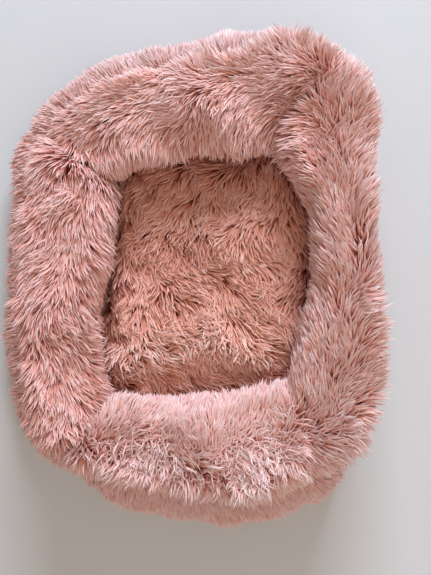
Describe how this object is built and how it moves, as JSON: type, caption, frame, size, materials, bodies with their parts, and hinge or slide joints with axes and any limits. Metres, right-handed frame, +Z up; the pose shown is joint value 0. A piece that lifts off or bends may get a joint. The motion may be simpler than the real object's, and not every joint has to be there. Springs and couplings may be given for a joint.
{
  "type": "pet cushion bed",
  "caption": "Shaggy plush pet bed: plump mitred bolsters on a low padded base around a sunken well with a loose seat cushion, and a zipped anti-slip underside.",
  "frame": {"origin": "centre of the plan on the flat underside, where the bed rests on the floor", "axes": "+Z up, +Y towards the back bolster along the bed's long side, +X to the right seen from the front"},
  "size_m": [0.5329, 0.6957, 0.1842],
  "materials": {
    "plush_pink": "long pile",
    "plush_rose_seat": "long pile",
    "fibre_fill": "matte",
    "lining_fabric": "matte",
    "anti_slip_fabric": "matte",
    "zip_tape": "matte",
    "zip_coil": "satin",
    "zip_metal": "satin"
  },
  "bodies": {
    "bed": {"bottom_panel": "anti_slip_fabric", "base_fill": "fibre_fill", "deck_panel": "lining_fabric", "base_wall_left": "plush_pink", "base_wall_front": "plush_pink", "base_wall_right": "plush_pink", "base_wall_back": "plush_pink", "bolster_cover_left": "plush_pink", "bolster_cover_front": "plush_pink", "bolster_cover_right": "plush_pink", "bolster_cover_back": "plush_pink", "bolster_fill_left": "fibre_fill", "bolster_fill_front": "fibre_fill", "bolster_fill_right": "fibre_fill", "bolster_fill_back": "fibre_fill", "zip_tape_front": "zip_tape", "zip_tape_back": "zip_tape", "zip_coil_front": "zip_coil", "zip_coil_back": "zip_coil", "zip_stop_left": "zip_metal", "zip_stop_right": "zip_metal"},
    "seat_cushion": {"seat_cover_top": "plush_rose_seat", "seat_fill": "fibre_fill", "seat_cover_bottom": "lining_fabric"},
    "slider": {"zip_slider": "zip_metal"},
    "pull": {"zip_pull": "zip_metal"}
  },
  "joints": [
    {"name": "seat_cushion_lift", "type": "slide", "parent": "bed", "child": "seat_cushion", "axis": [0, 0, 1], "range_m": [0, 0.25]},
    {"name": "zip_slide", "type": "slide", "parent": "bed", "child": "slider", "axis": [1, 0, 0], "range_m": [0, 0.3]},
    {"name": "zip_pull_swing", "type": "hinge", "parent": "slider", "child": "pull", "pos_m": [-0.15, 0.15, 0.00225], "axis": [0, 1, 0], "range_deg": [0, 150]}
  ]
}
